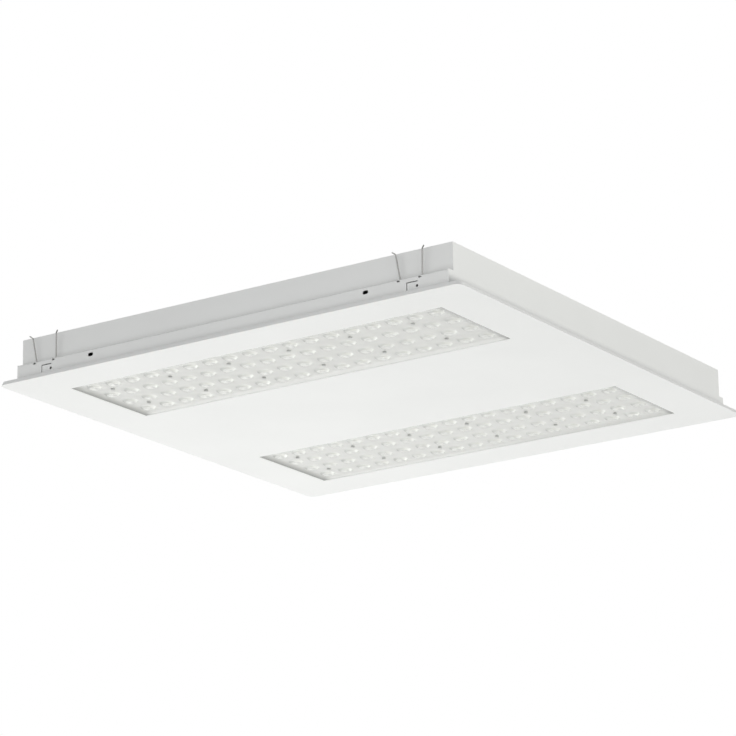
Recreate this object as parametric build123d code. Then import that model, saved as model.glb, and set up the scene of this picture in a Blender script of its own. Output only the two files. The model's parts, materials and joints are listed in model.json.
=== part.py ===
from build123d import *
import os

# Recessed LED light for a 600 mm ceiling module.
# Millimetres. +Z points up into the ceiling void and the origin is the centre of the face plate's underside.
# X runs along the lens windows. Front is the -Y side, left is the -X side.

# Face plate
PLATE_SIZE = 595.0
PLATE_SHEET = 0.8
PLATE_CORNER = 8.0
LIP_HEIGHT = 4.5
LIP_LEAN = 25.0
WINDOW_END_RIM = 56.8
WINDOW_SIDE_RIM = 54.7
CENTRE_BAND = 217.0

# Housing of folded sheet steel
BODY_SHEET = 0.8
SHOULDER_EASE = 1.2
BODY_RIM = 18.5
BODY_TOP = 53.0
RAIL_STEP = 9.0
RAIL_HEIGHT = 22.0
FLANGE_WIDTH = 14.0
FLANGE_GAP = 1.0
SIDE_TAB_END_GAP = 6.0

# Punched work in the side rails
SLOT_FROM_END = 101.0
SLOT_LENGTH = 7.0
SLOT_WIDTH = 4.0
SLOT_DROP = 5.7
SLIT_WIDTH = 1.0
TAB_START = -3.4
TAB_LENGTH = 13.7
TAB_HEIGHT = 8.7
TAB_DROP = 5.3
PILOT_RADIUS = 1.5
PILOT_SIDES = 10
PILOT_FROM_SLIT = 12.8
PILOT_DROP = 10.8

# Wire clips and the saddles that carry them
CLIP_FROM_LEFT = 36.95
CLIP_FROM_RIGHT = 47.55
WIRE_RADIUS = 0.75
WIRE_SIDES = 8
CLIP_BASE = 26.3
CLIP_SPREAD = 32.4
CLIP_RISE = 29.2
CLIP_LEAN = 3.9
HOOK_SIDE = 3.1
HOOK_OUT = 1.8
HOOK_RISE = 2.3
CLIP_BEND = 1.5
WIRE_FIT = 0.06
NOTCH_PLAY = 0.5
SADDLE_SHEET = 0.6
SADDLE_LENGTH = 16.0
SADDLE_FOOT = 1.4
SADDLE_SIDES = 8

# Lens plates
LENS_COLUMNS = 18
LENS_ROWS = 4
LENS_END_MARGIN = 4.9
LENS_SIDE_MARGIN = 2.5
LENS_RADIUS = 9.4
LENS_CROWN = 2.3
LENS_SLOPE = 46.5
LENS_SIDES = 8
LENS_PLATE = 3.0
LENS_OVERLAP = 6.0
GROOVE_PLAY = 1.2
GASKET_THICKNESS = 1.8
GASKET_WIDTH = 4.0

# Lens fixings: one in every third gap between columns, in every second gap between rows
FIXING_STEP = 3
FIXING_SIDES = 6
FIXING_RADIUS = 1.5
FIXING_HEAD_RADIUS = 2.3
FIXING_HEAD = 1.7
FIXING_END = 0.6

# Boards, light sources and heat sinks
BOARD_THICKNESS = 1.6
BOARD_GAP = 5.0
LED_SIZE = 3.5
LED_HEIGHT = 0.7
LED_CLEARANCE = 0.3
BOARD_END_GAP = 1.0
CONNECTOR_WIDTH = 10.0
CONNECTOR_HEIGHT = 3.6
CONNECTOR_GAP = 0.6
LINK_HEIGHT = 1.2
LINK_LAP = 6.0
SINK_SHEET = 2.0
SINK_PLAY = 1.0
SINK_FLANGE = 14.0
SINK_END_GAP = 3.0

# Studs, nuts and small screws
STUD_FROM_END = 91.2
STUD_RADIUS = 2.0
STUD_LENGTH = 8.0
STUD_PLAY = 0.3
THREAD_PLAY = 0.05
NUT_RADIUS = 4.0
NUT_HEIGHT = 3.2
SCREW_SIDES = 6
SCREW_RADIUS = 1.75
SCREW_LENGTH = 6.0
SCREW_HEAD_RADIUS = 3.8
SCREW_HEAD = 2.2

# Top cover, access lid and cable inlet
COVER_SHEET = 0.8
COVER_SCREW_INSET = 129.0
BEAD_WIDTH = 22.0
BEAD_HEIGHT = 2.0
BEAD_SLOPE = 45.0
BEAD_END = 70.0
BEAD_SPREAD = 80.0
GEAR_BEAD_LID_GAP = 50.0
GEAR_BEAD_INSET = 15.0
LID_LENGTH = 110.0
LID_WIDTH = 84.0
LID_LAP = 11.0
LID_PLAY = 0.4
LID_SKIRT = 5.0
LID_BEAD_INSET = 24.0
INLET_LID_GAP = 11.0
INLET_RADIUS = 5.0
GROMMET_WALL = 3.0
GROMMET_FLANGE = 4.0
GROMMET_FLANGE_HEIGHT = 2.2
GROMMET_SIDES = 12
GROMMET_PLAY = 0.1

# Control gear between the two light units
TRAY_SHEET = 0.8
TRAY_END_GAP = 26.2
TRAY_STEP_PLAY = 0.7
DRIVER_FROM_END = 59.0
DRIVER_LENGTH = 280.0
DRIVER_WIDTH = 30.0
DRIVER_HEIGHT = 21.0
DRIVER_SHEET = 0.6
DRIVER_TAB = 12.0
DRIVER_BOARD_RISE = 3.0
DRIVER_BOARD_END = 18.0
DRIVER_TERMINAL_LENGTH = 14.0
DRIVER_TERMINAL_HEIGHT = 12.0
TERMINAL_FROM_END = 129.0
TERMINAL_LENGTH = 24.0
TERMINAL_WIDTH = 46.0
TERMINAL_HEIGHT = 17.0
TERMINAL_POLES = 3
TERMINAL_PITCH = 13.0
ENTRY_SIZE = 5.5
ENTRY_DEPTH = 8.0
ENTRY_RISE = 5.0
BUTTON_LENGTH = 8.0
BUTTON_WIDTH = 6.0
BUTTON_PLAY = 0.3
BUTTON_DEPTH = 5.0
BUTTON_TRAVEL = 1.2
BUTTON_RISE = 2.4

# Inner wiring: flat leads folded square at their corners
LEAD_WIDTH = 5.0
LEAD_THICKNESS = 2.0
LEAD_RISE = 3.4
LEAD_SPREAD = 18.0
LEAD_WALL_GAP = 7.0

# Places worked out from the values above
plate_half = PLATE_SIZE / 2
body_half = plate_half - BODY_RIM
rail_half = body_half + RAIL_STEP
body_floor = PLATE_SHEET
cover_under = BODY_TOP - COVER_SHEET
shoulder_under = RAIL_HEIGHT - BODY_SHEET
inner_half = body_half - BODY_SHEET
flange_edge = body_half - FLANGE_WIDTH

window_length = PLATE_SIZE - 2 * WINDOW_END_RIM
window_width = (PLATE_SIZE - 2 * WINDOW_SIDE_RIM - CENTRE_BAND) / 2
window_y = (CENTRE_BAND + window_width) / 2

lens_face = PLATE_SHEET + GASKET_THICKNESS
lens_back = lens_face + LENS_PLATE
lens_length = window_length + 2 * LENS_OVERLAP
lens_width = window_width + 2 * LENS_OVERLAP
lens_pitch_x = (window_length - 2 * LENS_END_MARGIN) / LENS_COLUMNS
lens_pitch_y = (window_width - 2 * LENS_SIDE_MARGIN) / LENS_ROWS

board_back = lens_back + BOARD_THICKNESS
sink_half_length = inner_half - FLANGE_WIDTH - SINK_END_GAP
sink_inner = lens_width / 2 + SINK_PLAY
sink_outer = sink_inner + SINK_SHEET
sink_reach = sink_outer + SINK_FLANGE
sink_top = board_back + SINK_SHEET
board_end = sink_half_length - BOARD_END_GAP
stud_out = sink_outer + SINK_FLANGE / 2
stud_x = sink_half_length - STUD_FROM_END

clip_axis_y = body_half + RAIL_STEP / 2
clip_axis_z = shoulder_under - WIRE_FIT - WIRE_RADIUS
clip_stations = [-body_half + CLIP_FROM_LEFT, body_half - CLIP_FROM_RIGHT]
slot_x = body_half - SLOT_FROM_END
slot_height = RAIL_HEIGHT - SLOT_DROP
tab_high = RAIL_HEIGHT - TAB_DROP
tab_low = tab_high - TAB_HEIGHT
pilot_height = RAIL_HEIGHT - PILOT_DROP

tray_top = PLATE_SHEET + TRAY_SHEET
tray_half_length = sink_half_length - TRAY_END_GAP
driver_floor = tray_top + DRIVER_SHEET
driver_ends = [body_half - DRIVER_FROM_END - DRIVER_LENGTH, body_half - DRIVER_FROM_END]
terminal_x = -body_half + TERMINAL_FROM_END
terminal_top = tray_top + TERMINAL_HEIGHT
grommet_seat = INLET_RADIUS + GROMMET_WALL
grommet_brim = grommet_seat + GROMMET_FLANGE
inlet_x = terminal_x - LID_LENGTH / 2 - INLET_LID_GAP - grommet_brim
lid_top = BODY_TOP + COVER_SHEET


# Shared helpers

def slab(x_span, y_span, z_span):
    """Block between two limits along each axis."""
    sizes = [high - low for low, high in (x_span, y_span, z_span)]
    middles = [(high + low) / 2 for low, high in (x_span, y_span, z_span)]
    return Pos(*middles) * Box(*sizes)


def centred(size):
    """Limits of a size laid about zero."""
    return (-size / 2, size / 2)


def prism(radius, sides, low, high):
    """Upright prism with its corners on the given radius."""
    return Pos(0, 0, low) * extrude(RegularPolygon(radius, sides), high - low)


def folded(points, sheet):
    """Section of a sheet folded square, which reaches half a sheet past its first and last points."""
    section = Sketch()
    for (u_0, v_0), (u_1, v_1) in zip(points, points[1:]):
        run = Rectangle(abs(u_1 - u_0) + sheet, abs(v_1 - v_0) + sheet)
        section += Pos((u_0 + u_1) / 2, (v_0 + v_1) / 2) * run
    return section


def eased(points, cut):
    """The same route with each inner corner cut back along both of its runs."""
    route = [Vector(*point) for point in points]
    out = [route[0]]
    for before, corner, after in zip(route, route[1:], route[2:]):
        out.append(corner + (before - corner).normalized() * cut)
        out.append(corner + (after - corner).normalized() * cut)
    return out + [route[-1]]


def turned(shape):
    """The same piece turned half a turn about Z, as fitted on the opposite side."""
    return Rot(0, 0, 180) * shape


def hex_screw(head_low, head_high, tip):
    """Screw pointing down, with a hexagon head and a plain shank."""
    head = prism(SCREW_HEAD_RADIUS, FIXING_SIDES, head_low, head_high)
    return head + prism(SCREW_RADIUS, SCREW_SIDES, tip, head_low)


# Face plate

def face_plate():
    """Square plate with rounded corners, a folded edge all round and two windows."""
    inner_size = PLATE_SIZE - 2 * PLATE_SHEET
    outline = RectangleRounded(PLATE_SIZE, PLATE_SIZE, PLATE_CORNER)
    inner_outline = RectangleRounded(inner_size, inner_size, PLATE_CORNER - PLATE_SHEET)
    plate = extrude(outline, LIP_HEIGHT, taper=LIP_LEAN)
    plate -= Pos(0, 0, PLATE_SHEET) * extrude(inner_outline, LIP_HEIGHT, taper=LIP_LEAN)
    for side in (-1, 1):
        plate -= Pos(0, side * window_y, 0) * extrude(Rectangle(window_length, window_width), PLATE_SHEET)
    return plate


# Housing

def rail_cuts():
    """Slots, slits, pilot holes and clip notches of the front rail, as one cutting tool."""
    through = (-rail_half - BODY_SHEET, -rail_half + 2 * BODY_SHEET)
    cuts = []
    for side in (-1, 1):
        slot = Plane.XZ * Pos(side * slot_x, slot_height) * SlotOverall(SLOT_LENGTH, SLOT_WIDTH)
        cuts.append(Pos(0, -rail_half, 0) * extrude(slot, 2 * BODY_SHEET, both=True))
    for station in clip_stations:
        slit = station + TAB_START
        cuts.append(slab((slit, slit + SLIT_WIDTH), through, (tab_low, tab_high)))
        cuts.append(slab((slit, slit + TAB_LENGTH), through, (tab_high - SLIT_WIDTH, tab_high)))
        pilot = Plane.XZ * Pos(slit + PILOT_FROM_SLIT, pilot_height) * RegularPolygon(PILOT_RADIUS, PILOT_SIDES)
        cuts.append(Pos(0, -rail_half, 0) * extrude(pilot, 2 * BODY_SHEET, both=True))
        for hand in (-1, 1):
            cuts.append(clip_notch(station, hand))
    return cuts


def clip_notch(station, hand):
    """Notch across the shoulder's outer edge that lets one clip leg stand up and swing out."""
    reach = WIRE_RADIUS + NOTCH_PLAY
    inner_side = station + hand * (CLIP_BASE / 2 - CLIP_BEND - NOTCH_PLAY)
    outer_side = station + hand * (CLIP_BASE / 2 + reach + NOTCH_PLAY)
    x_span = (min(inner_side, outer_side), max(inner_side, outer_side))
    y_span = (-rail_half - BODY_SHEET, -clip_axis_y + reach + NOTCH_PLAY)
    return slab(x_span, y_span, (clip_axis_z - reach, RAIL_HEIGHT + BODY_SHEET))


def side_rail_front():
    """Side wall folded into a foot, a stepped shoulder and a flange for the cover."""
    half_sheet = BODY_SHEET / 2
    points = [
        (-rail_half + FLANGE_WIDTH - half_sheet, body_floor + half_sheet),
        (-rail_half + half_sheet, body_floor + half_sheet),
        (-rail_half + half_sheet, RAIL_HEIGHT - half_sheet),
        (-body_half + half_sheet, RAIL_HEIGHT - half_sheet),
        (-body_half + half_sheet, cover_under - half_sheet),
        (-flange_edge - half_sheet, cover_under - half_sheet),
    ]
    section = folded(points, BODY_SHEET)
    shoulder_edge = section.vertices().sort_by_distance((-rail_half, RAIL_HEIGHT))[0]
    section = chamfer(shoulder_edge, SHOULDER_EASE)
    rail = extrude(Plane.YZ * section, inner_half, both=True)
    rail -= rail_cuts()
    rail -= [tool for tool in cover_screw_holes() if abs(tool.center().Y) > flange_edge]
    return rail


def end_wall_right():
    """End wall whose stepped outline closes both rails, with flanges for plate and cover."""
    outline = Polygon(
        (-rail_half, body_floor),
        (rail_half, body_floor),
        (rail_half, RAIL_HEIGHT),
        (body_half, RAIL_HEIGHT),
        (body_half, cover_under),
        (-body_half, cover_under),
        (-body_half, RAIL_HEIGHT),
        (-rail_half, RAIL_HEIGHT),
        align=None,
    )
    wall = Pos(inner_half, 0, 0) * extrude(Plane.YZ * outline, BODY_SHEET)
    flange_span = centred(2 * (flange_edge - FLANGE_GAP))
    wall += slab((flange_edge, inner_half), flange_span, (body_floor, body_floor + BODY_SHEET))
    wall += slab((flange_edge, inner_half), flange_span, (cover_under - BODY_SHEET, cover_under))
    tab_height = (RAIL_HEIGHT + SIDE_TAB_END_GAP, cover_under - SIDE_TAB_END_GAP)
    for side in (-1, 1):
        tab_faces = sorted([side * inner_half, side * (inner_half - BODY_SHEET)])
        wall += slab((flange_edge, inner_half), tab_faces, tab_height)
    wall -= [tool for tool in cover_screw_holes() if tool.center().X > flange_edge]
    return wall


# Top cover

def cover_screw_places():
    """Two screws on each of the four sides, over the middle of the flanges."""
    edge = body_half - FLANGE_WIDTH / 2
    along = body_half - COVER_SCREW_INSET
    sides = [(step, side) for step in (-along, along) for side in (-edge, edge)]
    return sides + [(side, step) for step, side in sides]


def lid_screw_places():
    """One screw at each end of the access lid, in the lap around the opening."""
    reach = (LID_LENGTH - LID_LAP) / 2
    return [(terminal_x - reach, 0), (terminal_x + reach, 0)]


def cover_screw_holes():
    """Holes that the cover screws fill, through cover and flange."""
    low = cover_under - 2 * BODY_SHEET
    hole = prism(SCREW_RADIUS, SCREW_SIDES, low, BODY_TOP + COVER_SHEET)
    return [Pos(x, y, 0) * hole for x, y in cover_screw_places()]


def bead(length, x, y, surface):
    """Pressed stiffening bead: the raised form and the hollow under it."""
    form = extrude(Rectangle(length, BEAD_WIDTH), BEAD_HEIGHT, taper=BEAD_SLOPE)
    return Pos(x, y, surface) * form, Pos(x, y, surface - COVER_SHEET) * form


def top_cover():
    """Flat lid of the housing with pressed beads, access opening and cable hole."""
    cover = slab(centred(2 * body_half), centred(2 * body_half), (cover_under, BODY_TOP))
    rows = [side * window_y + step for side in (-1, 1) for step in centred(BEAD_SPREAD)]
    beads = [bead(2 * body_half - 2 * BEAD_END, 0, y, BODY_TOP) for y in rows]
    bead_start = terminal_x + LID_LENGTH / 2 + GEAR_BEAD_LID_GAP
    bead_end = driver_ends[1] - GEAR_BEAD_INSET
    beads.append(bead(bead_end - bead_start, (bead_start + bead_end) / 2, 0, BODY_TOP))
    cover += [raised for raised, hollow in beads]
    cover -= [hollow for raised, hollow in beads]
    opening = Rectangle(LID_LENGTH - 2 * LID_LAP, LID_WIDTH - 2 * LID_LAP)
    cover -= Pos(terminal_x, 0, cover_under) * extrude(opening, COVER_SHEET)
    inlet = Circle(grommet_seat + GROMMET_PLAY)
    cover -= Pos(inlet_x, 0, cover_under) * extrude(inlet, COVER_SHEET)
    cover -= cover_screw_holes()
    lid_hole = prism(SCREW_RADIUS, SCREW_SIDES, cover_under, BODY_TOP)
    cover -= [Pos(x, y, 0) * lid_hole for x, y in lid_screw_places()]
    return cover


def cover_screws():
    """Cover screws, driven down through the cover into the flanges."""
    screw = hex_screw(BODY_TOP, BODY_TOP + SCREW_HEAD, BODY_TOP - SCREW_LENGTH)
    return Compound(children=[Pos(x, y, 0) * screw for x, y in cover_screw_places()])


def access_lid():
    """Small lid over the mains terminals, with a bead and a locating skirt inside the opening."""
    lid = Pos(terminal_x, 0, BODY_TOP) * extrude(Rectangle(LID_LENGTH, LID_WIDTH), COVER_SHEET)
    skirt_length = LID_LENGTH - 2 * LID_LAP - 2 * LID_PLAY
    skirt_width = LID_WIDTH - 2 * LID_LAP - 2 * LID_PLAY
    skirt = Rectangle(skirt_length, skirt_width)
    skirt -= Rectangle(skirt_length - 2 * COVER_SHEET, skirt_width - 2 * COVER_SHEET)
    lid += Pos(terminal_x, 0, BODY_TOP - LID_SKIRT) * extrude(skirt, LID_SKIRT)
    raised, hollow = bead(LID_LENGTH - 2 * LID_BEAD_INSET, terminal_x, 0, lid_top)
    lid = lid + raised - hollow
    hole = prism(SCREW_RADIUS, SCREW_SIDES, BODY_TOP, lid_top)
    lid -= [Pos(x, y, 0) * hole for x, y in lid_screw_places()]
    return lid


def lid_screws():
    """Screws of the access lid."""
    screw = hex_screw(lid_top, lid_top + SCREW_HEAD, lid_top - SCREW_LENGTH)
    return Compound(children=[Pos(x, y, 0) * screw for x, y in lid_screw_places()])


def cable_grommet():
    """Rubber grommet with a flange on each side of the cover."""
    low = cover_under - GROMMET_FLANGE_HEIGHT
    high = BODY_TOP + GROMMET_FLANGE_HEIGHT
    grommet = prism(grommet_seat, GROMMET_SIDES, low, high)
    grommet += prism(grommet_brim, GROMMET_SIDES, low, cover_under)
    grommet += prism(grommet_brim, GROMMET_SIDES, BODY_TOP, high)
    grommet -= Pos(0, 0, low) * extrude(Circle(INLET_RADIUS), high - low)
    return Pos(inlet_x, 0, 0) * grommet


# Wire clips

def wire_clip(station):
    """Bent spring wire: cross bar, two spreading legs that lean outwards, and a hooked tip on each."""
    half_leg = [
        (CLIP_BASE / 2, 0, 0),
        (CLIP_SPREAD / 2, -CLIP_LEAN, CLIP_RISE),
        (CLIP_SPREAD / 2 + HOOK_SIDE, -CLIP_LEAN - HOOK_OUT, CLIP_RISE + HOOK_RISE),
    ]
    other_leg = [(-x, y, z) for x, y, z in reversed(half_leg)]
    path = Polyline(*eased(other_leg + half_leg, CLIP_BEND))
    section = Plane(origin=path @ 0, z_dir=path % 0) * RegularPolygon(WIRE_RADIUS, WIRE_SIDES)
    wire = sweep(section, path=path, transition=Transition.RIGHT)
    return Pos(station, -clip_axis_y, clip_axis_z) * wire


def clip_saddle(station):
    """Strip pressed into a half-round seat that holds a cross bar against the shoulder."""
    seat = WIRE_RADIUS + WIRE_FIT
    outer = seat + SADDLE_SHEET
    top = shoulder_under - clip_axis_z
    section = RegularPolygon(outer, SADDLE_SIDES, major_radius=False, rotation=180 / SADDLE_SIDES)
    section -= Pos(0, outer) * Rectangle(2 * outer, 2 * outer)
    section += Pos(0, top / 2) * Rectangle(2 * outer, top)
    section += Pos(0, top - SADDLE_SHEET / 2) * Rectangle(2 * outer + 2 * SADDLE_FOOT, SADDLE_SHEET)
    section -= Circle(seat)
    section -= Pos(0, top / 2) * Rectangle(2 * seat, top)
    strip = extrude(Plane.YZ * section, SADDLE_LENGTH / 2, both=True)
    return Pos(station, -clip_axis_y, clip_axis_z) * strip


def clip_saddles_front():
    """Both saddles of the front rail."""
    return Compound(children=[clip_saddle(station) for station in clip_stations])


# Light units, built for the front window

def lens_places():
    """Centres of the lenses in one window, about the window's own centre."""
    columns = [(column - (LENS_COLUMNS - 1) / 2) * lens_pitch_x for column in range(LENS_COLUMNS)]
    rows = [(row - (LENS_ROWS - 1) / 2) * lens_pitch_y for row in range(LENS_ROWS)]
    return [(x, y) for x in columns for y in rows]


def fixing_places():
    """Centres of the lens fixings in one window, about the window's own centre."""
    gaps_x = range(0, LENS_COLUMNS - 1, FIXING_STEP)
    gaps_y = range(0, LENS_ROWS - 1, 2)
    columns = [(gap + 1 - LENS_COLUMNS / 2) * lens_pitch_x for gap in gaps_x]
    rows = [(gap + 1 - LENS_ROWS / 2) * lens_pitch_y for gap in gaps_y]
    return [(x, y) for x in columns for y in rows]


def fixing_holes(low, high):
    """Holes that the lens fixings fill, between two heights."""
    hole = prism(FIXING_RADIUS, FIXING_SIDES, low, high)
    return [Pos(x, y, 0) * hole for x, y in fixing_places()]


def lens_plate():
    """Clear moulded plate with a crowned lens under each light source and a groove over each row."""
    plate = slab(centred(lens_length), centred(lens_width), (lens_face, lens_back))
    crown = extrude(RegularPolygon(LENS_RADIUS, LENS_SIDES), LENS_CROWN, taper=LENS_SLOPE)
    lens = Pos(0, 0, lens_face) * Rot(180, 0, 0) * crown
    plate += [Pos(x, y, 0) * lens for x, y in lens_places()]
    groove_depth = LED_HEIGHT + LED_CLEARANCE
    groove_length = (LENS_COLUMNS - 1) * lens_pitch_x + 2 * LED_SIZE
    for y in sorted({y for x, y in lens_places()}):
        groove_width = LED_SIZE + 2 * GROOVE_PLAY
        groove = slab(centred(groove_length), centred(groove_width), (lens_back - groove_depth, lens_back))
        plate -= Pos(0, y, 0) * groove
    plate -= fixing_holes(lens_face, lens_back)
    return plate


def lens_screws():
    """Small screws that hold the lens plate and board to the heat sink."""
    shank = prism(FIXING_RADIUS, FIXING_SIDES, lens_face, sink_top + FIXING_END)
    screw = shank + prism(FIXING_HEAD_RADIUS, FIXING_SIDES, lens_face - FIXING_HEAD, lens_face)
    return Compound(children=[Pos(x, y, 0) * screw for x, y in fixing_places()])


def window_gasket():
    """Soft sealing strips on the plate's back, along the long edges of the window, under the lens plate."""
    strip = Pos(0, 0, PLATE_SHEET) * extrude(Rectangle(window_length, GASKET_WIDTH), GASKET_THICKNESS)
    middle = (window_width + GASKET_WIDTH) / 2
    return Compound(children=[Pos(0, y, 0) * strip for y in (-middle, middle)])


def fixing_rows():
    """Heights across the window, along Y, at which the fixings stand."""
    return sorted({y for x, y in fixing_places()})


def led_boards():
    """White circuit boards on the back of the lens plate, parted where the fixings pass."""
    edges = [-lens_width / 2 - BOARD_GAP / 2, *fixing_rows(), lens_width / 2 + BOARD_GAP / 2]
    boards = []
    for low, high in zip(edges, edges[1:]):
        y_span = (low + BOARD_GAP / 2, high - BOARD_GAP / 2)
        boards.append(slab((-lens_length / 2, board_end), y_span, (lens_back, board_back)))
    return Compound(children=boards)


def board_links():
    """Flat links that join neighbouring boards beyond the lens plate."""
    x_span = (lens_length / 2 + CONNECTOR_GAP, board_end)
    y_span = centred(BOARD_GAP + 2 * LINK_LAP)
    link = slab(x_span, y_span, (lens_back - LINK_HEIGHT, lens_back))
    return Compound(children=[Pos(0, y, 0) * link for y in fixing_rows()])


def leds():
    """Light sources on the underside of the board, one over each lens."""
    chip = slab(centred(LED_SIZE), centred(LED_SIZE), (lens_back - LED_HEIGHT, lens_back))
    return Compound(children=[Pos(x, y, 0) * chip for x, y in lens_places()])


def board_connector():
    """Plug-in connector on the underside of the board, beyond the lens plate."""
    x_span = (lens_length / 2 + CONNECTOR_GAP, board_end)
    return slab(x_span, centred(CONNECTOR_WIDTH), (lens_back - CONNECTOR_HEIGHT, lens_back))


def heat_sink():
    """Aluminium hat section that carries the board and stands on the face plate."""
    bridge = slab(centred(2 * sink_half_length), centred(2 * sink_outer), (PLATE_SHEET, sink_top))
    hollow = slab(centred(2 * sink_half_length), centred(2 * sink_inner), (PLATE_SHEET, board_back))
    flanges = slab(centred(2 * sink_half_length), centred(2 * sink_reach), (PLATE_SHEET, PLATE_SHEET + SINK_SHEET))
    sink = bridge + flanges - hollow
    sink -= fixing_holes(board_back, sink_top)
    hole = prism(STUD_RADIUS + STUD_PLAY, SCREW_SIDES, PLATE_SHEET, PLATE_SHEET + SINK_SHEET)
    sink -= [Pos(x, y, 0) * hole for x, y in stud_places()]
    return sink


def stud_places():
    """Centres of the weld studs round one window, about the window's own centre."""
    return [(x, y) for x in (-stud_x, stud_x) for y in (-stud_out, stud_out)]


def all_studs():
    """Centres of every weld stud on the face plate."""
    return [(x, y + side * window_y) for side in (-1, 1) for x, y in stud_places()]


def plate_studs():
    """Studs welded to the top of the face plate."""
    stud = prism(STUD_RADIUS, SCREW_SIDES, PLATE_SHEET, PLATE_SHEET + STUD_LENGTH)
    return Compound(children=[Pos(x, y, 0) * stud for x, y in all_studs()])


def plate_nuts():
    """Nuts that clamp the heat sinks, and on the inner studs the gear tray as well."""
    nuts = []
    for x, y in all_studs():
        seat = PLATE_SHEET + SINK_SHEET
        if abs(y) < window_y:
            seat += TRAY_SHEET
        nut = prism(NUT_RADIUS, FIXING_SIDES, seat, seat + NUT_HEIGHT)
        nut -= prism(STUD_RADIUS + THREAD_PLAY, SCREW_SIDES, seat, seat + NUT_HEIGHT)
        nuts.append(Pos(x, y, 0) * nut)
    return Compound(children=nuts)


# Control gear

def gear_tray():
    """Tray between the light units, stepped up at both sides onto the heat sink flanges."""
    low = PLATE_SHEET + TRAY_SHEET / 2
    high = low + SINK_SHEET
    step = window_y - sink_reach - TRAY_STEP_PLAY - TRAY_SHEET / 2
    wing = window_y - sink_outer - TRAY_STEP_PLAY
    points = [(-wing, high), (-step, high), (-step, low), (step, low), (step, high), (wing, high)]
    tray = extrude(Plane.YZ * folded(points, TRAY_SHEET), tray_half_length, both=True)
    hole = prism(STUD_RADIUS + STUD_PLAY, SCREW_SIDES, PLATE_SHEET, high + TRAY_SHEET)
    tray -= [Pos(x, y, 0) * hole for x, y in all_studs() if abs(y) < window_y]
    screw_hole = prism(SCREW_RADIUS, SCREW_SIDES, PLATE_SHEET, tray_top)
    tray -= [Pos(x, 0, 0) * screw_hole for x in driver_screw_places()]
    return tray


def driver_screw_places():
    """Screws in the middle of the driver's two fixing tabs."""
    return [driver_ends[0] - DRIVER_TAB / 2, driver_ends[1] + DRIVER_TAB / 2]


def driver_base():
    """Bottom of the driver case with a fixing tab at each end."""
    x_span = (driver_ends[0] - DRIVER_TAB, driver_ends[1] + DRIVER_TAB)
    base = slab(x_span, centred(DRIVER_WIDTH), (tray_top, driver_floor))
    hole = prism(SCREW_RADIUS, SCREW_SIDES, tray_top, driver_floor)
    return base - [Pos(x, 0, 0) * hole for x in driver_screw_places()]


def driver_cover():
    """Long channel that covers the driver's circuit."""
    roof = tray_top + DRIVER_HEIGHT
    cover = slab(driver_ends, centred(DRIVER_WIDTH), (driver_floor, roof))
    return cover - slab(driver_ends, centred(DRIVER_WIDTH - 2 * DRIVER_SHEET), (driver_floor, roof - DRIVER_SHEET))


def driver_board():
    """Circuit board between the driver's two terminals."""
    x_span = (driver_ends[0] + DRIVER_BOARD_END, driver_ends[1] - DRIVER_BOARD_END)
    low = driver_floor + DRIVER_BOARD_RISE
    return slab(x_span, centred(DRIVER_WIDTH - 4 * DRIVER_SHEET), (low, low + BOARD_THICKNESS))


def driver_terminals():
    """Push-in terminals that close the two ends of the driver."""
    y_span = centred(DRIVER_WIDTH - 2 * DRIVER_SHEET)
    z_span = (driver_floor, driver_floor + DRIVER_TERMINAL_HEIGHT)
    left = slab((driver_ends[0], driver_ends[0] + DRIVER_TERMINAL_LENGTH), y_span, z_span)
    right = slab((driver_ends[1] - DRIVER_TERMINAL_LENGTH, driver_ends[1]), y_span, z_span)
    return Compound(children=[left, right])


def driver_screws():
    """Screws that hold the driver to the gear tray."""
    screw = hex_screw(driver_floor, driver_floor + SCREW_HEAD, PLATE_SHEET)
    return Compound(children=[Pos(x, 0, 0) * screw for x in driver_screw_places()])


def pole_places():
    """Middles of the terminal's poles along Y."""
    return [(pole - (TERMINAL_POLES - 1) / 2) * TERMINAL_PITCH for pole in range(TERMINAL_POLES)]


def terminal_block():
    """Push-in mains terminal with a wire entry and a button well for each pole."""
    block = slab(centred(TERMINAL_LENGTH), centred(TERMINAL_WIDTH), (tray_top, terminal_top))
    entry_low = tray_top + ENTRY_RISE
    entry = slab(
        (-TERMINAL_LENGTH / 2, -TERMINAL_LENGTH / 2 + ENTRY_DEPTH),
        centred(ENTRY_SIZE),
        (entry_low, entry_low + ENTRY_SIZE),
    )
    well_depth = BUTTON_DEPTH + BUTTON_TRAVEL + BUTTON_PLAY
    well = slab(
        centred(BUTTON_LENGTH + 2 * BUTTON_PLAY),
        centred(BUTTON_WIDTH + 2 * BUTTON_PLAY),
        (terminal_top - well_depth, terminal_top),
    )
    block -= [Pos(0, y, 0) * tool for y in pole_places() for tool in (entry, well)]
    return Pos(terminal_x, 0, 0) * block


def terminal_button(pole):
    """Release button of one pole."""
    z_span = (terminal_top - BUTTON_DEPTH, terminal_top + BUTTON_RISE)
    button = slab(centred(BUTTON_LENGTH), centred(BUTTON_WIDTH), z_span)
    return Pos(terminal_x, pole_places()[pole], 0) * button


# Inner wiring

def flat_lead(points):
    """Flat lead laid level along a route of square corners, whose ends lie half a width past its end points."""
    low = tray_top + LEAD_RISE - LEAD_THICKNESS
    return Pos(0, 0, low) * extrude(folded(points, LEAD_WIDTH), LEAD_THICKNESS)


def mains_lead():
    """Lead from the mains terminal to the driver's input."""
    y = LEAD_SPREAD / 2
    start_x = terminal_x + TERMINAL_LENGTH / 2 + LEAD_WIDTH / 2
    return flat_lead([(start_x, y), (driver_ends[0] - LEAD_WIDTH / 2, y)])


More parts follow.
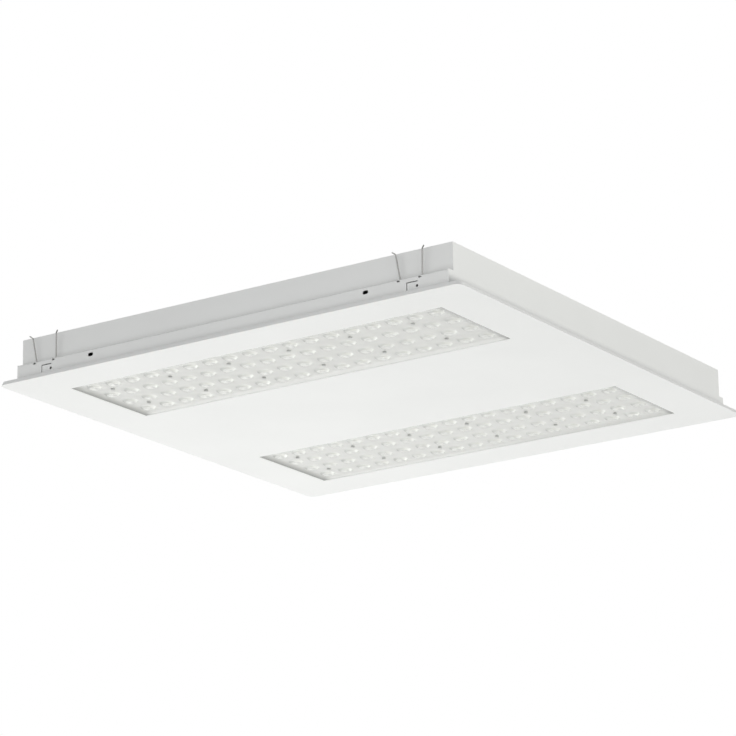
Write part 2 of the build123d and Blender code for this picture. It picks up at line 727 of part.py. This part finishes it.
def output_lead(side):
    """Lead from the driver's output, along the right end wall, to one board's connector."""
    turn_x = inner_half - LEAD_WALL_GAP
    start_y = side * LEAD_SPREAD / 2
    points = [
        (driver_ends[1] + LEAD_WIDTH / 2, start_y),
        (turn_x, start_y),
        (turn_x, side * window_y),
        (board_end + LEAD_WIDTH / 2, side * window_y),
    ]
    return flat_lead(points)


# Assembly: every node and its solid

def build_nodes():
    """All nodes of the light by name."""
    nodes = {
        "face_plate": face_plate(),
        "side_rail_front": side_rail_front(),
        "end_wall_right": end_wall_right(),
        "top_cover": top_cover(),
        "cover_screws": cover_screws(),
        "access_lid": access_lid(),
        "lid_screws": lid_screws(),
        "cable_grommet": cable_grommet(),
        "clip_saddles_front": clip_saddles_front(),
        "wire_clip_front_left": wire_clip(clip_stations[0]),
        "wire_clip_front_right": wire_clip(clip_stations[1]),
        "plate_studs": plate_studs(),
        "plate_nuts": plate_nuts(),
        "gear_tray": gear_tray(),
        "driver_base": driver_base(),
        "driver_cover": driver_cover(),
        "driver_board": driver_board(),
        "driver_terminals": driver_terminals(),
        "driver_screws": driver_screws(),
        "terminal_block": terminal_block(),
        "mains_lead": mains_lead(),
        "output_lead_front": output_lead(-1),
        "output_lead_rear": output_lead(1),
    }
    nodes["side_rail_rear"] = turned(nodes["side_rail_front"])
    nodes["end_wall_left"] = turned(nodes["end_wall_right"])
    nodes["clip_saddles_rear"] = turned(nodes["clip_saddles_front"])
    nodes["wire_clip_rear_right"] = turned(nodes["wire_clip_front_left"])
    nodes["wire_clip_rear_left"] = turned(nodes["wire_clip_front_right"])
    for pole, name in enumerate(("live", "neutral", "earth")):
        nodes["terminal_button_" + name] = terminal_button(pole)
    unit = {
        "lens_plate": lens_plate(),
        "lens_screws": lens_screws(),
        "window_gasket": window_gasket(),
        "led_boards": led_boards(),
        "board_links": board_links(),
        "leds": leds(),
        "board_connector": board_connector(),
        "heat_sink": heat_sink(),
    }
    for name, shape in unit.items():
        nodes[name + "_front"] = Pos(0, -window_y, 0) * shape
        nodes[name + "_rear"] = Pos(0, window_y, 0) * shape
    return nodes


os.makedirs("parts", exist_ok=True)
for node_name, node_shape in build_nodes().items():
    export_step(node_shape, os.path.join("parts", node_name + ".step"))
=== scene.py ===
import json
import math

import bmesh
import bpy
from mathutils import Matrix, Vector

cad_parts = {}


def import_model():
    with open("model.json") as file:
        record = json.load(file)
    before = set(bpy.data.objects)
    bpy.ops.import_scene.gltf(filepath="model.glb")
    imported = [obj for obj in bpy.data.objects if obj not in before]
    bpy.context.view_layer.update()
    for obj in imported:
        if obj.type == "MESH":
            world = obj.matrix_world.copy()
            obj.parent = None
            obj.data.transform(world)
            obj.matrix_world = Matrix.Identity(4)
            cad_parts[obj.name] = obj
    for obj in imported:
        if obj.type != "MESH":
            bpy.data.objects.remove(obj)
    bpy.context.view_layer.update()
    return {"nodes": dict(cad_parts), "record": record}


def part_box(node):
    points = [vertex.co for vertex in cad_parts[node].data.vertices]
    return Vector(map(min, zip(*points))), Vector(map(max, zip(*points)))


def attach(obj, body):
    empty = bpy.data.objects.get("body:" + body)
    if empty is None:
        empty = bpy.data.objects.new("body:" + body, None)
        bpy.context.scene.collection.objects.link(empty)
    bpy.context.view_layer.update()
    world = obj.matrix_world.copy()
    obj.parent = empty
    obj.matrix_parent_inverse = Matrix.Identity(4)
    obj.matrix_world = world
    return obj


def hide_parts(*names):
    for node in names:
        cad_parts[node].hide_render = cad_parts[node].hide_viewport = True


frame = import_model()

# Recessed LED light, seen from below in the main view.
# Sizes are in millimetres, and MM turns them into metres.
MM = 0.001

# Camera of the photograph
VIEW_AZIMUTH = 33.73
VIEW_ELEVATION = -16.94
VIEW_ROLL = -0.94
VIEW_DISTANCE = 3882.6
VIEW_SIDE = -10.98
VIEW_UP = 36.83
VIEW_LENS = 171.05
VIEW_REACH = 100000.0
SENSOR = 36.0

# Lens arrays
LENS_COLUMNS = 18
LENS_ROWS = 4
LENS_PITCH_X = 26.2
LENS_PITCH_Y = 32.325
LENS_FACE = 2.6
LENS_BACK = 5.55
LENS_RADIUS = 9.4
LENS_CREST = 5.4
LENS_CROWN = 2.2
LENS_DIMPLE = 1.0
FLANK_RINGS = 6
DIMPLE_RINGS = 4
CELL_STEPS = 8

# Low rim of a lens array in its window
WINDOW_HALF = (240.7, 67.15)
EDGE_DROP = 1.1
RIM_LOW = 0.3
RIM_LAND = 0.2
RIM_PLAY = 0.3
RIM_DRAFT = 0.1

# Wire clips
CLIP_BASE = 26.3
CLIP_SPREAD = 32.4
CLIP_RISE = 29.2
CLIP_LEAN = 3.9
HOOK_SIDE = 3.1
HOOK_OUT = 1.8
HOOK_RISE = 2.3
WIRE_RADIUS = 0.75
WIRE_BEND = 1.9
WIRE_ROUNDNESS = 4
BEND_STEPS = 8
CLIP_AXIS_OUT = 283.5
CLIP_AXIS_UP = 20.39
CLIP_STATIONS = {
    ("front", "left"): -242.05,
    ("front", "right"): 231.45,
    ("rear", "left"): -231.45,
    ("rear", "right"): 242.05,
}

# Screws on the cover and its lid; the dome is given as radius and height of its rings
COVER_TOP = 53.0
LID_TOP = 53.8
SCREW_HEAD_RADIUS = 3.7
SCREW_HEAD = 2.1
SCREW_RIM = 0.7
SCREW_DOME = ((3.45, 1.25), (2.95, 1.7), (2.35, 1.98))
SCREW_STEPS = 32
CROSS_ARMS = 4
CROSS_REACH = 2.1
CROSS_WIDTH = 0.8
CROSS_DEPTH = 1.2
COVER_SCREW_OUT = 272.0
COVER_SCREW_ALONG = 150.0
LID_SCREWS = (-199.5, -100.5)

# Cable inlet; the rounded edges are given as steps sideways and down from the upper corner
INLET_X = -228.0
INLET_RADIUS = 5.0
GROMMET_BRIM = 12.0
GROMMET_SEAT = 8.0
COVER_UNDER = 52.2
GROMMET_FLANGE = 2.2
GROMMET_FOOT_BREAK = 0.4
GROMMET_FOOT_EDGE = 1.2
GROMMET_BRIM_ROUND = ((0.0, 1.3), (0.4, 0.6), (1.3, 0.15), (2.4, 0.0))
GROMMET_MOUTH_ROUND = ((1.0, 0.0), (0.3, 0.3), (0.0, 1.0))
GROMMET_STEPS = 48

# Meshes: points closer than WELD are joined, and edges sharper than SHARP_ANGLE degrees stay crisp
WELD = 0.001
SHARP_ANGLE = 32.0

# Finishes
WHITE = (1.0, 1.0, 1.0, 1.0)
EVEN = (1.0, 1.0, 1.0)
DRAWN = (0.05, 1.0, 1.0)
PATCH_DETAIL = 4.0
GRAIN_DETAIL = 3.0
GRAIN_DEPTH = 0.05
GLOSS_SPREAD = 0.15
RAMP_START = 0.35
RAMP_END = 0.65

# Clear plastic of the lens arrays
LENS_INDEX = 1.49
LENS_CLEARNESS = 0.25
LENS_TINTS = ((0.89, 0.90, 0.87), (0.91, 0.92, 0.89))
# Painted shade: dark colour mixed into the lens plates towards both ends, standing in for the shadow at the
# ends of each window
LENS_END_PAINTED_SHADE = (0.32, 0.33, 0.31, 1.0)
LENS_GLOSS = (0.06, 0.12)
LENS_PATCHES = 20.0
LENS_GRAIN = 500.0
LENS_DETAIL = 2.0
# Painted shade on the lens plates begins this far from the middle and is full at the next distance
END_SHADE_START = 227.0
END_SHADE_FULL = 243.0

# Studio, in metres and degrees
FLOOR_HEIGHT = -5.35
FLOOR_HALF = 30.0
FLOOR_GLOW = 0.45
FLOOR_COLOUR = (0.92, 0.92, 0.92, 1.0)
FLOOR_ROUGHNESS = 0.9
FILL_LIGHT = 0.30
BACKDROP = 1.0
LAMP_DISTANCE = 2.6
KEY_SPREAD = 20.0
KEY_COLOUR = (1.0, 0.995, 0.95)


# Node helpers

def new_material(name):
    """Node material with a principled shader, returned with its tree and shader."""
    material = bpy.data.materials.new(name)
    material.use_nodes = True
    tree = material.node_tree
    shader = tree.nodes["Principled BSDF"]
    return material, tree, shader


def noise(tree, scale, detail, stretch=EVEN):
    """Noise texture over the object's own coordinates, in cycles per metre."""
    place = tree.nodes.new("ShaderNodeTexCoord")
    mapping = tree.nodes.new("ShaderNodeMapping")
    mapping.inputs["Scale"].default_value = stretch
    texture = tree.nodes.new("ShaderNodeTexNoise")
    texture.inputs["Scale"].default_value = scale
    texture.inputs["Detail"].default_value = detail
    tree.links.new(place.outputs["Object"], mapping.inputs["Vector"])
    tree.links.new(mapping.outputs["Vector"], texture.inputs["Vector"])
    return texture


def ramp(tree, source, low, high):
    """Colour ramp between two colours, driven by a texture's factor."""
    node = tree.nodes.new("ShaderNodeValToRGB")
    node.color_ramp.elements[0].position = RAMP_START
    node.color_ramp.elements[0].color = (*low, 1.0)
    node.color_ramp.elements[1].position = RAMP_END
    node.color_ramp.elements[1].color = (*high, 1.0)
    tree.links.new(source.outputs["Fac"], node.inputs["Fac"])
    return node


def uneven_gloss(tree, shader, source, smooth, rough):
    """Roughness that wanders between two values with a texture's factor."""
    gloss = tree.nodes.new("ShaderNodeMapRange")
    gloss.inputs["To Min"].default_value = smooth
    gloss.inputs["To Max"].default_value = rough
    tree.links.new(source.outputs["Fac"], gloss.inputs["Value"])
    tree.links.new(gloss.outputs["Result"], shader.inputs["Roughness"])


def scaled(colour, factor):
    """Colour made lighter or darker, held at full white or below."""
    return tuple(min(channel * factor, 1.0) for channel in colour)


def surface(name, colour, roughness, metallic=0.0, spread=0.02, patch=8.0, grain=900.0, relief=0.06,
            stretch=EVEN):
    """Finish with slow colour variation, uneven gloss and a fine grain in its relief."""
    material, tree, shader = new_material(name)
    shader.inputs["Metallic"].default_value = metallic
    patches = noise(tree, patch, PATCH_DETAIL)
    tint = ramp(tree, patches, scaled(colour, 1.0 - spread), scaled(colour, 1.0 + spread))
    tree.links.new(tint.outputs["Color"], shader.inputs["Base Color"])
    fine = noise(tree, grain, GRAIN_DETAIL, stretch)
    smooth = roughness * (1.0 - GLOSS_SPREAD)
    rough = min(roughness * (1.0 + GLOSS_SPREAD), 1.0)
    uneven_gloss(tree, shader, fine, smooth, rough)
    bump = tree.nodes.new("ShaderNodeBump")
    bump.inputs["Strength"].default_value = relief
    bump.inputs["Distance"].default_value = GRAIN_DEPTH * MM
    tree.links.new(fine.outputs["Fac"], bump.inputs["Height"])
    tree.links.new(bump.outputs["Normal"], shader.inputs["Normal"])
    return material


def painted_end_shade(tree):
    """Mask for painted shade, rising from 0 to 1 towards both ends of a lens array."""
    place = tree.nodes.new("ShaderNodeTexCoord")
    split = tree.nodes.new("ShaderNodeSeparateXYZ")
    tree.links.new(place.outputs["Object"], split.inputs["Vector"])
    along = tree.nodes.new("ShaderNodeMath")
    along.operation = "ABSOLUTE"
    tree.links.new(split.outputs["X"], along.inputs[0])
    shade = tree.nodes.new("ShaderNodeMapRange")
    shade.interpolation_type = "SMOOTHSTEP"
    shade.inputs["From Min"].default_value = END_SHADE_START * MM
    shade.inputs["From Max"].default_value = END_SHADE_FULL * MM
    tree.links.new(along.outputs["Value"], shade.inputs["Value"])
    return shade.outputs["Result"]


def clear_lens():
    """Clear plastic, slightly milky with a faint green cast, and darkened at both ends by painted shade that
    stands in for the shadow at the ends of its window.
    """
    material, tree, shader = new_material("clear_lens")
    shader.inputs["IOR"].default_value = LENS_INDEX
    shader.inputs["Transmission Weight"].default_value = LENS_CLEARNESS
    tint = ramp(tree, noise(tree, LENS_PATCHES, LENS_DETAIL), *LENS_TINTS)
    # Painted shade: the dark end colour is mixed in towards both ends of the plate
    painted_shade_mix = tree.nodes.new("ShaderNodeMixRGB")
    painted_shade_mix.inputs["Color2"].default_value = LENS_END_PAINTED_SHADE
    tree.links.new(painted_end_shade(tree), painted_shade_mix.inputs["Fac"])
    tree.links.new(tint.outputs["Color"], painted_shade_mix.inputs["Color1"])
    tree.links.new(painted_shade_mix.outputs["Color"], shader.inputs["Base Color"])
    uneven_gloss(tree, shader, noise(tree, LENS_GRAIN, LENS_DETAIL), *LENS_GLOSS)
    return material


def make_materials():
    """Every finish of the light by the record's slot name."""
    looks = {
        "white_steel": dict(colour=(0.84, 0.85, 0.84), roughness=0.42, spread=0.012, relief=0.08),
        "spring_wire": dict(colour=(0.29, 0.29, 0.28), roughness=0.34, metallic=1.0, spread=0.06, patch=60.0,
                            grain=1500.0),
        "saddle_steel": dict(colour=(0.66, 0.67, 0.68), roughness=0.40, metallic=1.0, spread=0.06,
                             patch=80.0),
        "fixing_steel": dict(colour=(0.48, 0.49, 0.48), roughness=0.45, metallic=0.6, spread=0.10,
                             patch=120.0),
        "zinc_steel": dict(colour=(0.66, 0.67, 0.68), roughness=0.36, metallic=1.0, spread=0.08,
                           patch=90.0),
        "seal_rubber": dict(colour=(0.88, 0.89, 0.88), roughness=0.80, spread=0.06, patch=50.0),
        "inlet_rubber": dict(colour=(0.035, 0.035, 0.038), roughness=0.70, spread=0.20, patch=120.0,
                             grain=1500.0, relief=0.15),
        "board_white": dict(colour=(0.80, 0.82, 0.80), roughness=0.45, spread=0.03, patch=30.0),
        "led_phosphor": dict(colour=(0.82, 0.80, 0.64), roughness=0.40, spread=0.05, patch=200.0),
        "connector_white": dict(colour=(0.80, 0.80, 0.76), roughness=0.50, spread=0.03, patch=60.0),
        "sink_aluminium": dict(colour=(0.70, 0.71, 0.72), roughness=0.38, metallic=1.0, spread=0.05,
                               patch=12.0, grain=400.0, relief=0.10, stretch=DRAWN),
        "driver_case": dict(colour=(0.74, 0.75, 0.75), roughness=0.45, spread=0.02, patch=20.0),
        "board_green": dict(colour=(0.03, 0.16, 0.06), roughness=0.40, spread=0.15, patch=90.0),
        "terminal_grey": dict(colour=(0.52, 0.53, 0.53), roughness=0.50, spread=0.04, patch=80.0),
        "button_brown": dict(colour=(0.12, 0.05, 0.025), roughness=0.45, spread=0.10, patch=150.0),
        "button_blue": dict(colour=(0.03, 0.09, 0.35), roughness=0.45, spread=0.10, patch=150.0),
        "button_green": dict(colour=(0.14, 0.32, 0.04), roughness=0.45, spread=0.10, patch=150.0),
        "lead_grey": dict(colour=(0.36, 0.37, 0.37), roughness=0.55, spread=0.06, patch=80.0),
    }
    materials = {slot: surface(slot, **look) for slot, look in looks.items()}
    materials["clear_lens"] = clear_lens()
    return materials


# Mesh helpers

def stand_in(name, data, slot, body, node):
    """Places a piece that takes a CAD node's place, wears a slot's finish and rides on a body."""
    piece = bpy.data.objects.new(name, data)
    bpy.context.scene.collection.objects.link(piece)
    data.materials.append(MATERIALS[slot])
    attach(piece, body)
    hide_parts(node)


def add_piece(name, bm, slot, node):
    """Turns built faces into a smooth piece on the housing that takes a CAD node's place."""
    bmesh.ops.remove_doubles(bm, verts=bm.verts, dist=WELD * MM)
    bmesh.ops.recalc_face_normals(bm, faces=bm.faces)
    for face in bm.faces:
        face.smooth = True
    for edge in bm.edges:
        if len(edge.link_faces) == 2 and edge.calc_face_angle() > math.radians(SHARP_ANGLE):
            edge.smooth = False
    mesh = bpy.data.meshes.new(name)
    bm.to_mesh(mesh)
    bm.free()
    stand_in(name, mesh, slot, "housing", node)


def bridge(bm, low, high):
    """Joins two rings of the same count with quads."""
    for k in range(len(low)):
        after = (k + 1) % len(low)
        bm.faces.new((low[k], low[after], high[after], high[k]))


def outline_ring(bm, centre, outline, z):
    """Ring of vertices along an outline about a centre, in millimetres."""
    return [bm.verts.new(((centre[0] + u) * MM, (centre[1] + v) * MM, z * MM)) for u, v in outline]


def turned_ring(bm, centre, radius, z, steps):
    """Ring of vertices round an upright axis, in millimetres."""
    angles = [2 * math.pi * k / steps for k in range(steps)]
    circle = [(radius * math.cos(angle), radius * math.sin(angle)) for angle in angles]
    return outline_ring(bm, centre, circle, z)


# Lens plates

def wave(share):
    """Smooth step from 0 to 1."""
    return (1 - math.cos(share * math.pi)) / 2


def lens_profile():
    """Radius and drop of each ring of a lens, from its rim over a round crest into a shallow dimple."""
    rings = []
    for step in range(FLANK_RINGS):
        share = step / FLANK_RINGS
        rings.append((LENS_RADIUS + (LENS_CREST - LENS_RADIUS) * share, LENS_CROWN * wave(share)))
    for step in range(DIMPLE_RINGS):
        share = step / DIMPLE_RINGS
        rings.append((LENS_CREST * (1 - share), LENS_CROWN - LENS_DIMPLE * wave(share)))
    return rings


def cell_outline():
    """Points round one lens cell, counter-clockwise from a corner."""
    half_x = LENS_PITCH_X / 2
    half_y = LENS_PITCH_Y / 2
    corners = [(-half_x, -half_y), (half_x, -half_y), (half_x, half_y), (-half_x, half_y)]
    points = []
    for k, start in enumerate(corners):
        end = corners[(k + 1) % len(corners)]
        for step in range(CELL_STEPS):
            share = step / CELL_STEPS
            points.append((start[0] + (end[0] - start[0]) * share, start[1] + (end[1] - start[1]) * share))
    return points


def lens_cell(bm, x, y):
    """One cell of the plate's underside with its crowned lens."""
    outline = cell_outline()
    ring = outline_ring(bm, (x, y), outline, LENS_FACE)
    for radius, drop in lens_profile():
        reaches = [radius / math.hypot(u, v) for u, v in outline]
        circle = [(u * reach, v * reach) for (u, v), reach in zip(outline, reaches)]
        inner = outline_ring(bm, (x, y), circle, LENS_FACE - drop)
        bridge(bm, ring, inner)
        ring = inner
    tip = bm.verts.new((x * MM, y * MM, (LENS_FACE - LENS_CROWN + LENS_DIMPLE) * MM))
    for k in range(len(ring)):
        bm.faces.new((ring[k], ring[(k + 1) % len(ring)], tip))


def open_edges(bm):
    """Edges at the border of what is built so far."""
    return [edge for edge in bm.edges if len(edge.link_faces) == 1]


def grow(bm, middle, old_half, new_half, z):
    """Carries the plate's open border on to another rectangle at another height."""
    grown = bmesh.ops.extrude_edge_only(bm, edges=open_edges(bm))["geom"]
    for vert in [item for item in grown if isinstance(item, bmesh.types.BMVert)]:
        x = vert.co.x / MM - middle.x
        y = vert.co.y / MM - middle.y
        if abs(abs(x) - old_half[0]) < WELD:
            x = math.copysign(new_half[0], x)
        if abs(abs(y) - old_half[1]) < WELD:
            y = math.copysign(new_half[1], y)
        vert.co = ((middle.x + x) * MM, (middle.y + y) * MM, z * MM)


def lens_plate(side):
    """Clear plate of one window: tiled lens cells, a low rim that fits the window, plain edges and back."""
    node = "lens_plate_" + side
    low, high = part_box(node)
    middle = (low + high) / 2 / MM
    bm = bmesh.new()
    for column in range(LENS_COLUMNS):
        for row in range(LENS_ROWS):
            x = middle.x + (column - (LENS_COLUMNS - 1) / 2) * LENS_PITCH_X
            y = middle.y + (row - (LENS_ROWS - 1) / 2) * LENS_PITCH_Y
            lens_cell(bm, x, y)
    bmesh.ops.remove_doubles(bm, verts=bm.verts, dist=WELD * MM)
    for vert in {vert for edge in open_edges(bm) for vert in edge.verts}:
        vert.co.z -= EDGE_DROP * MM
    field = (LENS_COLUMNS * LENS_PITCH_X / 2, LENS_ROWS * LENS_PITCH_Y / 2)
    foot = [half - RIM_PLAY for half in WINDOW_HALF]
    toe = [half - RIM_LAND for half in foot]
    heel = [half + RIM_DRAFT for half in foot]
    plate = [(high.x - low.x) / 2 / MM, (high.y - low.y) / 2 / MM]
    grow(bm, middle, field, toe, RIM_LOW)
    grow(bm, middle, toe, foot, RIM_LOW)
    grow(bm, middle, foot, heel, LENS_FACE)
    grow(bm, middle, heel, plate, LENS_FACE)
    grow(bm, middle, plate, plate, LENS_BACK)
    bmesh.ops.contextual_create(bm, geom=open_edges(bm))
    add_piece("lens_array_" + side, bm, "clear_lens", node)


# Wire clips

def rounded(points, radius):
    """Route with each corner turned into an arc."""
    route = [Vector(point) for point in points]
    out = [route[0]]
    for before, corner, after in zip(route, route[1:], route[2:]):
        to_start = (before - corner).normalized()
        to_end = (after - corner).normalized()
        half = to_start.angle(to_end) / 2
        cut = radius / math.tan(half)
        start = corner + to_start * cut
        centre = corner + (to_start + to_end).normalized() * (radius / math.sin(half))
        end = corner + to_end * cut
        for step in range(BEND_STEPS + 1):
            ray = (start - centre).normalized().slerp((end - centre).normalized(), step / BEND_STEPS)
            out.append(centre + ray * radius)
    return out + [route[-1]]


def wire_clip(row, column):
    """Round spring wire of one clip, standing where its CAD node stands."""
    leg = [
        (CLIP_BASE / 2, 0, 0),
        (CLIP_SPREAD / 2, -CLIP_LEAN, CLIP_RISE),
        (CLIP_SPREAD / 2 + HOOK_SIDE, -CLIP_LEAN - HOOK_OUT, CLIP_RISE + HOOK_RISE),
    ]
    other_leg = [(-x, y, z) for x, y, z in reversed(leg)]
    hand = -1 if row == "rear" else 1
    node = "wire_clip_" + row + "_" + column
    curve = bpy.data.curves.new("spring_" + node, "CURVE")
    curve.dimensions = "3D"
    curve.bevel_depth = WIRE_RADIUS * MM
    curve.bevel_resolution = WIRE_ROUNDNESS
    curve.use_fill_caps = True
    spline = curve.splines.new("POLY")
    route = rounded(other_leg + leg, WIRE_BEND)
    spline.points.add(len(route) - 1)
    for point, place in zip(spline.points, route):
        x = CLIP_STATIONS[row, column] + hand * place.x
        y = hand * (place.y - CLIP_AXIS_OUT)
        point.co = (x * MM, y * MM, (place.z + CLIP_AXIS_UP) * MM, 1.0)
    stand_in("spring_" + node, curve, "spring_wire", node, node)


# Screws and grommet

def cross_outline():
    """Points round a cross recess, counter-clockwise."""
    half = CROSS_WIDTH / 2
    arm = [(half, half), (half, CROSS_REACH), (-half, CROSS_REACH)]
    points = []
    for _ in range(CROSS_ARMS):
        points += arm
        arm = [(-v, u) for u, v in arm]
    return points


def ring_edges(bm, ring):
    """Edges along a ring, made where there are none yet."""
    pairs = [(ring[k], ring[(k + 1) % len(ring)]) for k in range(len(ring))]
    return [bm.edges.get(pair) or bm.edges.new(pair) for pair in pairs]


def screw_head(bm, x, y, seat):
    """Pan head with a cross recess, standing on its seat."""
    profile = [(SCREW_HEAD_RADIUS, 0.0), (SCREW_HEAD_RADIUS, SCREW_RIM), *SCREW_DOME]
    rings = [turned_ring(bm, (x, y), radius, seat + height, SCREW_STEPS) for radius, height in profile]
    for low, high in zip(rings, rings[1:]):
        bridge(bm, low, high)
    top = seat + SCREW_HEAD
    mouth = outline_ring(bm, (x, y), cross_outline(), top)
    bottom = outline_ring(bm, (x, y), cross_outline(), top - CROSS_DEPTH)
    mouth_edges = ring_edges(bm, mouth)
    bridge(bm, mouth, bottom)
    bm.faces.new(bottom)
    bmesh.ops.triangle_fill(bm, edges=ring_edges(bm, rings[-1]) + mouth_edges, use_beauty=True)
    bm.faces.new(rings[0])


def screws():
    """Screw heads on the cover and on its lid."""
    bm = bmesh.new()
    for along in (-COVER_SCREW_ALONG, COVER_SCREW_ALONG):
        for out in (-COVER_SCREW_OUT, COVER_SCREW_OUT):
            screw_head(bm, along, out, COVER_TOP)
            screw_head(bm, out, along, COVER_TOP)
    add_piece("cover_screw_heads", bm, "zinc_steel", "cover_screws")
    bm = bmesh.new()
    for x in LID_SCREWS:
        screw_head(bm, x, 0.0, LID_TOP)
    add_piece("lid_screw_heads", bm, "zinc_steel", "lid_screws")


def grommet():
    """Moulded inlet grommet with rounded flanges."""
    low = COVER_UNDER - GROMMET_FLANGE
    high = COVER_TOP + GROMMET_FLANGE
    profile = [
        (INLET_RADIUS, low + GROMMET_FOOT_BREAK),
        (INLET_RADIUS + GROMMET_FOOT_BREAK, low),
        (GROMMET_BRIM - GROMMET_FOOT_EDGE, low),
        (GROMMET_BRIM, low + GROMMET_FOOT_EDGE),
        (GROMMET_BRIM, COVER_UNDER),
        (GROMMET_SEAT, COVER_UNDER),
        (GROMMET_SEAT, COVER_TOP),
        (GROMMET_BRIM, COVER_TOP),
    ]
    profile += [(GROMMET_BRIM - inward, high - down) for inward, down in GROMMET_BRIM_ROUND]
    profile += [(INLET_RADIUS + outward, high - down) for outward, down in GROMMET_MOUTH_ROUND]
    bm = bmesh.new()
    rings = [turned_ring(bm, (INLET_X, 0.0), radius, z, GROMMET_STEPS) for radius, z in profile]
    for k in range(len(rings)):
        bridge(bm, rings[k], rings[(k + 1) % len(rings)])
    add_piece("inlet_grommet", bm, "inlet_rubber", "cable_grommet")


# CAD nodes

def dress_nodes():
    """Gives each CAD node its finish."""
    for entry in frame["record"]["subparts"]:
        node = frame["nodes"][entry["node"]]
        node.data.materials.clear()
        node.data.materials.append(MATERIALS[entry["material_slot"]])


# Stage, light and camera

def seen_rays(tree):
    """Output that is 1 for what the eye, a mirror or glass sees, and 0 for light that falls on the object."""
    path = tree.nodes.new("ShaderNodeLightPath")
    switch = path.outputs["Is Camera Ray"]
    for kind in ("Is Glossy Ray", "Is Transmission Ray"):
        either = tree.nodes.new("ShaderNodeMath")
        either.operation = "MAXIMUM"
        tree.links.new(switch, either.inputs[0])
        tree.links.new(path.outputs[kind], either.inputs[1])
        switch = either.outputs["Value"]
    return switch


def white_background(tree, strength):
    """White background of the given strength."""
    background = tree.nodes.new("ShaderNodeBackground")
    background.inputs["Color"].default_value = WHITE
    background.inputs["Strength"].default_value = strength
    return background.outputs["Background"]


def world():
    """White backdrop for the eye, mirrors and glass, and an even soft light for the rest."""
    scene_world = bpy.data.worlds.new("studio")
    bpy.context.scene.world = scene_world
    scene_world.use_nodes = True
    tree = scene_world.node_tree
    tree.nodes.clear()
    out = tree.nodes.new("ShaderNodeOutputWorld")
    mix = tree.nodes.new("ShaderNodeMixShader")
    tree.links.new(seen_rays(tree), mix.inputs["Fac"])
    tree.links.new(white_background(tree, FILL_LIGHT), mix.inputs[1])
    tree.links.new(white_background(tree, BACKDROP), mix.inputs[2])
    tree.links.new(mix.outputs["Shader"], out.inputs["Surface"])


def floor():
    """Pale floor far below the light, which the photograph's camera doesn't see."""
    bm = bmesh.new()
    bmesh.ops.create_grid(bm, x_segments=1, y_segments=1, size=FLOOR_HALF)
    mesh = bpy.data.meshes.new("floor")
    bm.to_mesh(mesh)
    bm.free()
    piece = bpy.data.objects.new("floor", mesh)
    piece.location = (0.0, 0.0, FLOOR_HEIGHT)
    bpy.context.scene.collection.objects.link(piece)
    material, tree, shader = new_material("pale_floor")
    shader.inputs["Base Color"].default_value = FLOOR_COLOUR
    shader.inputs["Roughness"].default_value = FLOOR_ROUGHNESS
    shader.inputs["Emission Color"].default_value = WHITE
    glow = tree.nodes.new("ShaderNodeMath")
    glow.operation = "MULTIPLY"
    glow.inputs[1].default_value = FLOOR_GLOW
    tree.links.new(seen_rays(tree), glow.inputs[0])
    tree.links.new(glow.outputs["Value"], shader.inputs["Emission Strength"])
    mesh.materials.append(material)
    piece.visible_shadow = False


def direction(azimuth, elevation):
    """Unit vector from the object towards a place seen at these angles, in degrees."""
    a = math.radians(azimuth)
    e = math.radians(elevation)
    return Vector((math.sin(a) * math.cos(e), -math.cos(a) * math.cos(e), math.sin(e)))


def place_lamp(lamp, azimuth, elevation, distance):
    """Puts a lamp where it faces the object from these angles."""
    holder = bpy.data.objects.new(lamp.name, lamp)
    away = direction(azimuth, elevation)
    holder.location = away * distance
    holder.rotation_mode = "QUATERNION"
    holder.rotation_quaternion = away.to_track_quat("Z", "Y")
    bpy.context.scene.collection.objects.link(holder)


def softbox(name, azimuth, elevation, power, size, distance=LAMP_DISTANCE):
    """Square area lamp that faces the object."""
    lamp = bpy.data.lights.new(name, "AREA")
    lamp.energy = power
    lamp.size = size
    place_lamp(lamp, azimuth, elevation, distance)


def far_key(azimuth, elevation, strength):
    """Soft key light whose rays all fall from one side, evenly on the whole object."""
    lamp = bpy.data.lights.new("key", "SUN")
    lamp.energy = strength
    lamp.angle = math.radians(KEY_SPREAD)
    lamp.color = KEY_COLOUR
    place_lamp(lamp, azimuth, elevation, LAMP_DISTANCE)


def lamps():
    """Key and soft fill lights, most of them from below, where the photograph was taken from."""
    far_key(azimuth=120.0, elevation=-28.0, strength=1.6)
    softbox("side", azimuth=50.0, elevation=-12.0, power=10.0, size=1.6)
    softbox("front", azimuth=0.0, elevation=-16.0, power=25.0, size=3.0)
    softbox("below", azimuth=245.0, elevation=-58.0, power=7.2, size=1.2, distance=1.4)
    softbox("glint", azimuth=180.0, elevation=-38.0, power=8.0, size=0.8)
    softbox("top", azimuth=205.0, elevation=50.0, power=35.0, size=1.6)


def camera():
    """Camera at the photograph's viewing angle."""
    data = bpy.data.cameras.new("camera")
    data.sensor_width = SENSOR
    data.lens = VIEW_LENS
    data.clip_end = VIEW_REACH * MM
    holder = bpy.data.objects.new("camera", data)
    bpy.context.scene.collection.objects.link(holder)
    back = direction(VIEW_AZIMUTH, VIEW_ELEVATION)
    azimuth = math.radians(VIEW_AZIMUTH)
    right = Vector((math.cos(azimuth), math.sin(azimuth), 0.0))
    up = back.cross(right)
    roll = math.radians(VIEW_ROLL)
    rolled_right = right * math.cos(roll) + up * math.sin(roll)
    rolled_up = up * math.cos(roll) - right * math.sin(roll)
    place = (back * VIEW_DISTANCE + rolled_right * VIEW_SIDE + rolled_up * VIEW_UP) * MM
    turn = Matrix((rolled_right, rolled_up, back)).transposed()
    holder.matrix_world = Matrix.Translation(place) @ turn.to_4x4()
    bpy.context.scene.camera = holder


bpy.context.scene.view_settings.view_transform = "Standard"
MATERIALS = make_materials()
dress_nodes()
for side in ("front", "rear"):
    lens_plate(side)
    for column in ("left", "right"):
        wire_clip(side, column)
screws()
grommet()
world()
floor()
lamps()
camera()
